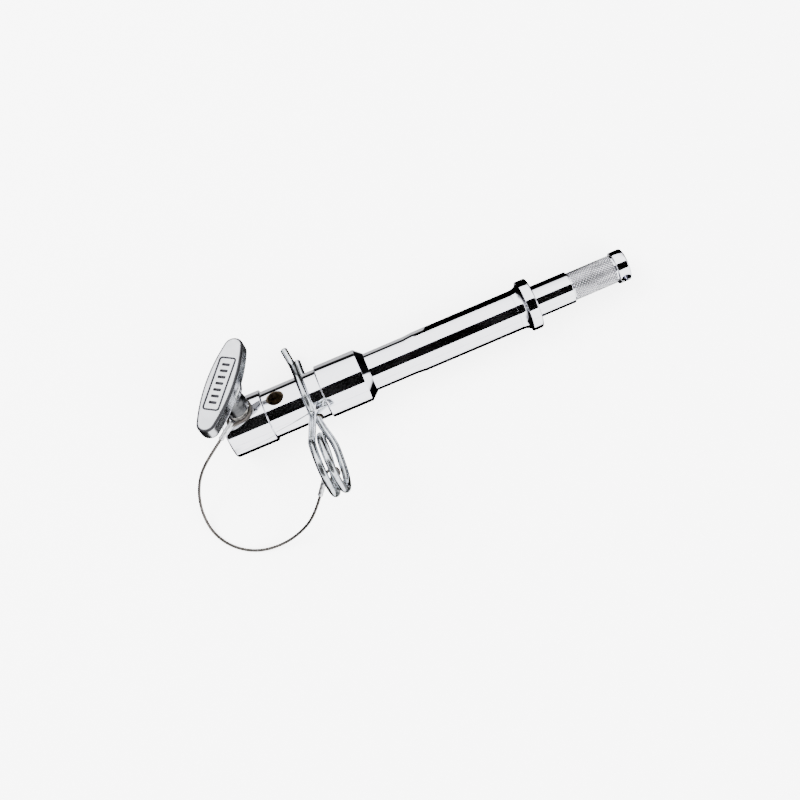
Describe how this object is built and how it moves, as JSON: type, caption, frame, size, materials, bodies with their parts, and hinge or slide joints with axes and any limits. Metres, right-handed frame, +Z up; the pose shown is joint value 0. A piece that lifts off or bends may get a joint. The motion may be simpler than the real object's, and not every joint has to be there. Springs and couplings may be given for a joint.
{
  "type": "lighting stand extension adapter",
  "caption": "Chromed stand extension adapter with a T-handle clamp receiver, a knurled 16 mm stud and a hairpin on a wire-rope lanyard.",
  "frame": {"origin": "centre of the receiver's mouth, where the bore opens", "axes": "+X along the tool from the receiver's mouth to the stud's tip; +Z up with the tool lying on its side; +Y to the side the clamp handle leans towards"},
  "size_m": [0.237, 0.1, 0.0638],
  "materials": {
    "chrome": "polished chrome plate",
    "screw_steel": "zinc-plated steel thread",
    "brass": "turned brass",
    "zinc_casting": "satin zinc die casting",
    "spring_wire": "zinc-plated spring wire",
    "wire_rope": "stranded steel rope",
    "ferrule": "crimped aluminium"
  },
  "bodies": {
    "receiver": {"receiver_socket": "chrome", "extension_tube": "chrome", "baby_stud": "chrome", "handle_eye": "wire_rope", "handle_ferrule": "ferrule"},
    "shoe": {"clamp_shoe": "brass"},
    "handle": {"t_handle": "zinc_casting", "clamp_screw": "screw_steel"},
    "hairpin": {"safety_hairpin": "spring_wire", "lanyard_wire": "wire_rope", "clip_ferrule": "ferrule", "clip_eye": "wire_rope"},
    "spring_leg": {"hairpin_spring_leg": "spring_wire"}
  },
  "joints": [
    {"name": "clamp_advance", "type": "slide", "parent": "receiver", "child": "shoe", "axis": [0, 0.5225, 0.8526], "range_m": [-0.0018, 0.002]},
    {"name": "clamp_turn", "type": "hinge", "parent": "shoe", "child": "handle", "pos_m": [0.0102, 0, 0], "axis": [0, 0.5225, 0.8526], "range_deg": [-432, 480]},
    {"name": "clip_pull", "type": "slide", "parent": "receiver", "child": "hairpin", "axis": [0, -0.8526, 0.5225], "range_m": [0, 0.036]},
    {"name": "clip_flex", "type": "hinge", "parent": "hairpin", "child": "spring_leg", "pos_m": [0.039, -0.01907, 0.03835], "axis": [1, 0, 0], "range_deg": [0, 22.5]}
  ],
  "couplings": [
    {"joint": "clamp_advance", "follows": "clamp_turn", "m_per_rad": 0.00023873},
    {"joint": "clip_flex", "follows": "clip_pull", "rad_per_m": 10.8}
  ]
}
